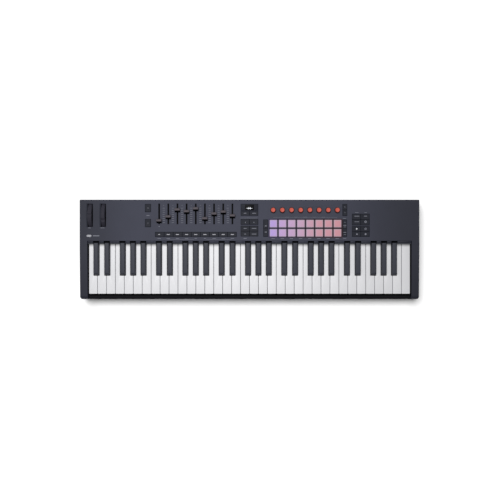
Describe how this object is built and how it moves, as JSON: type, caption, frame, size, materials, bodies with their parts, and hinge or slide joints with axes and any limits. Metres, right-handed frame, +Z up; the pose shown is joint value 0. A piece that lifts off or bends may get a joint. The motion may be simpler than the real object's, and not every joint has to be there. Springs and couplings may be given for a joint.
{
  "type": "keyboard synthesizer",
  "caption": "Slim keyboard synthesizer with full-size sprung keys, pitch and mod wheels, faders, knobs, pads, a small display and push-button groups.",
  "frame": {"origin": "on the table under the middle of the instrument, at the bottom of the feet", "axes": "+X to the player's right along the keys, +Y away from the player, +Z up"},
  "size_m": [0.8916, 0.262, 0.0783],
  "materials": {
    "case_plastic": "fine-grained moulded satin, dark slate grey",
    "tray_plastic": "fine spark-eroded grain, near black",
    "key_white": "semi-gloss, cool white",
    "key_black": "satin charcoal with fine grain",
    "wheel_rubber": "soft-touch ribbed rubber",
    "button_plastic": "silicone with a satin hard coat",
    "fader_plastic": "satin moulded caps",
    "knob_plastic": "soft-touch, orange red",
    "pad_silicone": "translucent silicone lit from below, violet to salmon",
    "circuit_board": "solder mask over glass fibre",
    "display_lens": "polished smoked window",
    "plated_steel": "zinc plated sheet",
    "foot_rubber": "matt moulded rubber"
  },
  "bodies": {
    "case": {"top_case": "case_plastic", "bottom_case": "tray_plastic", "foot_front": "foot_rubber", "foot_rear": "foot_rubber", "keybed_frame": "plated_steel", "contact_board": "circuit_board", "control_board": "circuit_board", "display_module": "display_lens", "wheel_bracket": "plated_steel", "usb_socket": "plated_steel", "midi_socket": "tray_plastic", "pedal_jack": "tray_plastic"},
    "pitch_wheel": {"pitch_wheel": "wheel_rubber"},
    "mod_wheel": {"mod_wheel": "wheel_rubber"},
    "fader_cap_1": {"fader_cap_1": "fader_plastic"},
    "fader_cap_2": {"fader_cap_2": "fader_plastic"},
    "fader_cap_3": {"fader_cap_3": "fader_plastic"},
    "fader_cap_4": {"fader_cap_4": "fader_plastic"},
    "fader_cap_5": {"fader_cap_5": "fader_plastic"},
    "fader_cap_6": {"fader_cap_6": "fader_plastic"},
    "fader_cap_7": {"fader_cap_7": "fader_plastic"},
    "fader_cap_8": {"fader_cap_8": "fader_plastic"},
    "fader_cap_9": {"fader_cap_9": "fader_plastic"},
    "knob_1": {"knob_1": "knob_plastic"},
    "knob_2": {"knob_2": "knob_plastic"},
    "knob_3": {"knob_3": "knob_plastic"},
    "knob_4": {"knob_4": "knob_plastic"},
    "knob_5": {"knob_5": "knob_plastic"},
    "knob_6": {"knob_6": "knob_plastic"},
    "knob_7": {"knob_7": "knob_plastic"},
    "knob_8": {"knob_8": "knob_plastic"},
    "pad_mat": {"pad_mat": "pad_silicone"},
    "octave_buttons": {"octave_buttons": "button_plastic"},
    "fader_buttons": {"fader_buttons": "button_plastic"},
    "display_buttons": {"display_buttons": "button_plastic"},
    "centre_buttons": {"centre_buttons": "button_plastic"},
    "pad_left_buttons": {"pad_left_buttons": "button_plastic"},
    "pad_right_buttons": {"pad_right_buttons": "button_plastic"},
    "page_buttons": {"page_buttons": "button_plastic"},
    "transport_buttons": {"transport_buttons": "button_plastic"},
    "white_keys_octave_1": {"white_keys_octave_1": "key_white"},
    "black_keys_octave_1": {"black_keys_octave_1": "key_black"},
    "white_keys_octave_2": {"white_keys_octave_2": "key_white"},
    "black_keys_octave_2": {"black_keys_octave_2": "key_black"},
    "white_key_c": {"white_key_c": "key_white"},
    "black_key_c_sharp": {"black_key_c_sharp": "key_black"},
    "white_key_d": {"white_key_d": "key_white"},
    "black_key_d_sharp": {"black_key_d_sharp": "key_black"},
    "white_key_e": {"white_key_e": "key_white"},
    "white_key_f": {"white_key_f": "key_white"},
    "black_key_f_sharp": {"black_key_f_sharp": "key_black"},
    "white_key_g": {"white_key_g": "key_white"},
    "black_key_g_sharp": {"black_key_g_sharp": "key_black"},
    "white_key_a": {"white_key_a": "key_white"},
    "black_key_a_sharp": {"black_key_a_sharp": "key_black"},
    "white_key_b": {"white_key_b": "key_white"},
    "white_keys_octave_4": {"white_keys_octave_4": "key_white"},
    "black_keys_octave_4": {"black_keys_octave_4": "key_black"},
    "white_keys_octave_5": {"white_keys_octave_5": "key_white"},
    "black_keys_octave_5": {"black_keys_octave_5": "key_black"}
  },
  "joints": [
    {"name": "pitch_wheel_turn", "type": "hinge", "parent": "case", "child": "pitch_wheel", "pos_m": [-0.42, 0.08985, 0.0424], "axis": [-1, 0, 0], "range_deg": [-45, 45], "stiffness_Nm_per_rad": 0.08},
    {"name": "mod_wheel_turn", "type": "hinge", "parent": "case", "child": "mod_wheel", "pos_m": [-0.3856, 0.08985, 0.0424], "axis": [-1, 0, 0], "range_deg": [0, 50]},
    {"name": "fader_1_slide", "type": "slide", "parent": "case", "child": "fader_cap_1", "axis": [0, 1, 0], "range_m": [-0.0038, 0.0412]},
    {"name": "fader_2_slide", "type": "slide", "parent": "case", "child": "fader_cap_2", "axis": [0, 1, 0], "range_m": [-0.0141, 0.0309]},
    {"name": "fader_3_slide", "type": "slide", "parent": "case", "child": "fader_cap_3", "axis": [0, 1, 0], "range_m": [-0.0323, 0.0127]},
    {"name": "fader_4_slide", "type": "slide", "parent": "case", "child": "fader_cap_4", "axis": [0, 1, 0], "range_m": [-0.0278, 0.0172]},
    {"name": "fader_5_slide", "type": "slide", "parent": "case", "child": "fader_cap_5", "axis": [0, 1, 0], "range_m": [-0.0352, 0.0098]},
    {"name": "fader_6_slide", "type": "slide", "parent": "case", "child": "fader_cap_6", "axis": [0, 1, 0], "range_m": [-0.0093, 0.0357]},
    {"name": "fader_7_slide", "type": "slide", "parent": "case", "child": "fader_cap_7", "axis": [0, 1, 0], "range_m": [-0.0217, 0.0233]},
    {"name": "fader_8_slide", "type": "slide", "parent": "case", "child": "fader_cap_8", "axis": [0, 1, 0], "range_m": [-0.0267, 0.0183]},
    {"name": "fader_9_slide", "type": "slide", "parent": "case", "child": "fader_cap_9", "axis": [0, 1, 0], "range_m": [-0.0167, 0.0283]},
    {"name": "knob_1_turn", "type": "hinge", "parent": "case", "child": "knob_1", "pos_m": [0.0619, 0.1034, 0.065], "axis": [0, 0, 1], "continuous": true},
    {"name": "knob_2_turn", "type": "hinge", "parent": "case", "child": "knob_2", "pos_m": [0.08593, 0.1034, 0.065], "axis": [0, 0, 1], "continuous": true},
    {"name": "knob_3_turn", "type": "hinge", "parent": "case", "child": "knob_3", "pos_m": [0.10996, 0.1034, 0.065], "axis": [0, 0, 1], "continuous": true},
    {"name": "knob_4_turn", "type": "hinge", "parent": "case", "child": "knob_4", "pos_m": [0.13399, 0.1034, 0.065], "axis": [0, 0, 1], "continuous": true},
    {"name": "knob_5_turn", "type": "hinge", "parent": "case", "child": "knob_5", "pos_m": [0.15802, 0.1034, 0.065], "axis": [0, 0, 1], "continuous": true},
    {"name": "knob_6_turn", "type": "hinge", "parent": "case", "child": "knob_6", "pos_m": [0.18205, 0.1034, 0.065], "axis": [0, 0, 1], "continuous": true},
    {"name": "knob_7_turn", "type": "hinge", "parent": "case", "child": "knob_7", "pos_m": [0.20608, 0.1034, 0.065], "axis": [0, 0, 1], "continuous": true},
    {"name": "knob_8_turn", "type": "hinge", "parent": "case", "child": "knob_8", "pos_m": [0.23011, 0.1034, 0.065], "axis": [0, 0, 1], "continuous": true},
    {"name": "pads_press", "type": "slide", "parent": "case", "child": "pad_mat", "axis": [0, 0, -1], "range_m": [0, 0.0008], "stiffness_N_per_m": 6000, "springref_m": -0.0005},
    {"name": "octave_buttons_press", "type": "slide", "parent": "case", "child": "octave_buttons", "axis": [0, 0, -1], "range_m": [0, 0.001], "stiffness_N_per_m": 1200, "springref_m": -0.0008},
    {"name": "fader_buttons_press", "type": "slide", "parent": "case", "child": "fader_buttons", "axis": [0, 0, -1], "range_m": [0, 0.001], "stiffness_N_per_m": 5400, "springref_m": -0.0008},
    {"name": "display_buttons_press", "type": "slide", "parent": "case", "child": "display_buttons", "axis": [0, 0, -1], "range_m": [0, 0.001], "stiffness_N_per_m": 1200, "springref_m": -0.0008},
    {"name": "centre_buttons_press", "type": "slide", "parent": "case", "child": "centre_buttons", "axis": [0, 0, -1], "range_m": [0, 0.001], "stiffness_N_per_m": 3600, "springref_m": -0.0008},
    {"name": "pad_left_buttons_press", "type": "slide", "parent": "case", "child": "pad_left_buttons", "axis": [0, 0, -1], "range_m": [0, 0.001], "stiffness_N_per_m": 1200, "springref_m": -0.0008},
    {"name": "pad_right_buttons_press", "type": "slide", "parent": "case", "child": "pad_right_buttons", "axis": [0, 0, -1], "range_m": [0, 0.001], "stiffness_N_per_m": 1200, "springref_m": -0.0008},
    {"name": "page_buttons_press", "type": "slide", "parent": "case", "child": "page_buttons", "axis": [0, 0, -1], "range_m": [0, 0.001], "stiffness_N_per_m": 1200, "springref_m": -0.0008},
    {"name": "transport_buttons_press", "type": "slide", "parent": "case", "child": "transport_buttons", "axis": [0, 0, -1], "range_m": [0, 0.001], "stiffness_N_per_m": 4800, "springref_m": -0.0008},
    {"name": "white_keys_octave_1_press", "type": "hinge", "parent": "case", "child": "white_keys_octave_1", "pos_m": [0, 0.046, 0.043], "axis": [1, 0, 0], "range_deg": [0, 3.5], "stiffness_Nm_per_rad": 5.6, "springref_deg": -9.74},
    {"name": "black_keys_octave_1_press", "type": "hinge", "parent": "case", "child": "black_keys_octave_1", "pos_m": [0, 0.046, 0.043], "axis": [1, 0, 0], "range_deg": [0, 4], "stiffness_Nm_per_rad": 4, "springref_deg": -8.02},
    {"name": "white_keys_octave_2_press", "type": "hinge", "parent": "case", "child": "white_keys_octave_2", "pos_m": [0, 0.046, 0.043], "axis": [1, 0, 0], "range_deg": [0, 3.5], "stiffness_Nm_per_rad": 5.6, "springref_deg": -9.74},
    {"name": "black_keys_octave_2_press", "type": "hinge", "parent": "case", "child": "black_keys_octave_2", "pos_m": [0, 0.046, 0.043], "axis": [1, 0, 0], "range_deg": [0, 4], "stiffness_Nm_per_rad": 4, "springref_deg": -8.02},
    {"name": "white_key_c_press", "type": "hinge", "parent": "case", "child": "white_key_c", "pos_m": [0, 0.046, 0.043], "axis": [1, 0, 0], "range_deg": [0, 3.5], "stiffness_Nm_per_rad": 0.8, "springref_deg": -9.74},
    {"name": "black_key_c_sharp_press", "type": "hinge", "parent": "case", "child": "black_key_c_sharp", "pos_m": [0, 0.046, 0.043], "axis": [1, 0, 0], "range_deg": [0, 4], "stiffness_Nm_per_rad": 0.8, "springref_deg": -8.02},
    {"name": "white_key_d_press", "type": "hinge", "parent": "case", "child": "white_key_d", "pos_m": [0, 0.046, 0.043], "axis": [1, 0, 0], "range_deg": [0, 3.5], "stiffness_Nm_per_rad": 0.8, "springref_deg": -9.74},
    {"name": "black_key_d_sharp_press", "type": "hinge", "parent": "case", "child": "black_key_d_sharp", "pos_m": [0, 0.046, 0.043], "axis": [1, 0, 0], "range_deg": [0, 4], "stiffness_Nm_per_rad": 0.8, "springref_deg": -8.02},
    {"name": "white_key_e_press", "type": "hinge", "parent": "case", "child": "white_key_e", "pos_m": [0, 0.046, 0.043], "axis": [1, 0, 0], "range_deg": [0, 3.5], "stiffness_Nm_per_rad": 0.8, "springref_deg": -9.74},
    {"name": "white_key_f_press", "type": "hinge", "parent": "case", "child": "white_key_f", "pos_m": [0, 0.046, 0.043], "axis": [1, 0, 0], "range_deg": [0, 3.5], "stiffness_Nm_per_rad": 0.8, "springref_deg": -9.74},
    {"name": "black_key_f_sharp_press", "type": "hinge", "parent": "case", "child": "black_key_f_sharp", "pos_m": [0, 0.046, 0.043], "axis": [1, 0, 0], "range_deg": [0, 4], "stiffness_Nm_per_rad": 0.8, "springref_deg": -8.02},
    {"name": "white_key_g_press", "type": "hinge", "parent": "case", "child": "white_key_g", "pos_m": [0, 0.046, 0.043], "axis": [1, 0, 0], "range_deg": [0, 3.5], "stiffness_Nm_per_rad": 0.8, "springref_deg": -9.74},
    {"name": "black_key_g_sharp_press", "type": "hinge", "parent": "case", "child": "black_key_g_sharp", "pos_m": [0, 0.046, 0.043], "axis": [1, 0, 0], "range_deg": [0, 4], "stiffness_Nm_per_rad": 0.8, "springref_deg": -8.02},
    {"name": "white_key_a_press", "type": "hinge", "parent": "case", "child": "white_key_a", "pos_m": [0, 0.046, 0.043], "axis": [1, 0, 0], "range_deg": [0, 3.5], "stiffness_Nm_per_rad": 0.8, "springref_deg": -9.74},
    {"name": "black_key_a_sharp_press", "type": "hinge", "parent": "case", "child": "black_key_a_sharp", "pos_m": [0, 0.046, 0.043], "axis": [1, 0, 0], "range_deg": [0, 4], "stiffness_Nm_per_rad": 0.8, "springref_deg": -8.02},
    {"name": "white_key_b_press", "type": "hinge", "parent": "case", "child": "white_key_b", "pos_m": [0, 0.046, 0.043], "axis": [1, 0, 0], "range_deg": [0, 3.5], "stiffness_Nm_per_rad": 0.8, "springref_deg": -9.74},
    {"name": "white_keys_octave_4_press", "type": "hinge", "parent": "case", "child": "white_keys_octave_4", "pos_m": [0, 0.046, 0.043], "axis": [1, 0, 0], "range_deg": [0, 3.5], "stiffness_Nm_per_rad": 5.6, "springref_deg": -9.74},
    {"name": "black_keys_octave_4_press", "type": "hinge", "parent": "case", "child": "black_keys_octave_4", "pos_m": [0, 0.046, 0.043], "axis": [1, 0, 0], "range_deg": [0, 4], "stiffness_Nm_per_rad": 4, "springref_deg": -8.02},
    {"name": "white_keys_octave_5_press", "type": "hinge", "parent": "case", "child": "white_keys_octave_5", "pos_m": [0, 0.046, 0.043], "axis": [1, 0, 0], "range_deg": [0, 3.5], "stiffness_Nm_per_rad": 6.4, "springref_deg": -9.74},
    {"name": "black_keys_octave_5_press", "type": "hinge", "parent": "case", "child": "black_keys_octave_5", "pos_m": [0, 0.046, 0.043], "axis": [1, 0, 0], "range_deg": [0, 4], "stiffness_Nm_per_rad": 4, "springref_deg": -8.02}
  ]
}
